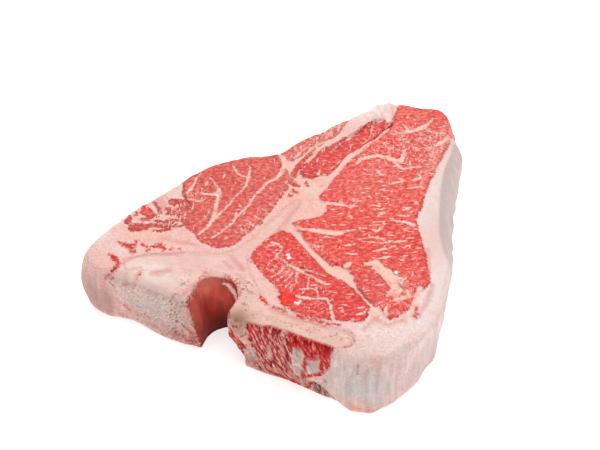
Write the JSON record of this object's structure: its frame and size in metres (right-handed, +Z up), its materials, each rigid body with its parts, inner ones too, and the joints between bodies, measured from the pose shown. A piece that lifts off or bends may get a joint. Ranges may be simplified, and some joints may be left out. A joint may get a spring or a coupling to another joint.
{
  "type": "raw t-bone steak",
  "caption": "Thick-cut raw T-bone steak lying flat, with the T-shaped backbone slice, strip loin, tenderloin, tail muscles and a cap of fat.",
  "frame": {"origin": "middle of the bounding box of the steak, on the cut face that it rests on", "axes": "+Z up through the steak's thickness, -Y out of the saw cut through the backbone, +Y along the bone's thin arm, strip loin on +X and tenderloin on -X"},
  "size_m": [0.1803, 0.1929, 0.0399],
  "materials": {
    "bone": "sawn pink-grey bone, open-pored marrow with red specks",
    "fat": "moist creamy pink fat",
    "strip_muscle": "moist red muscle with fine pale marbling",
    "tender_muscle": "moist duller red muscle with a few fat seams",
    "flank_muscle": "moist deep red muscle with long grain"
  },
  "bodies": {
    "root": {"bone": "bone", "fat": "fat", "strip_eye": "strip_muscle", "inner_strip": "strip_muscle", "tenderloin": "tender_muscle", "side_muscle": "tender_muscle", "outer_flank": "flank_muscle", "inner_flank": "flank_muscle"}
  },
  "joints": []
}
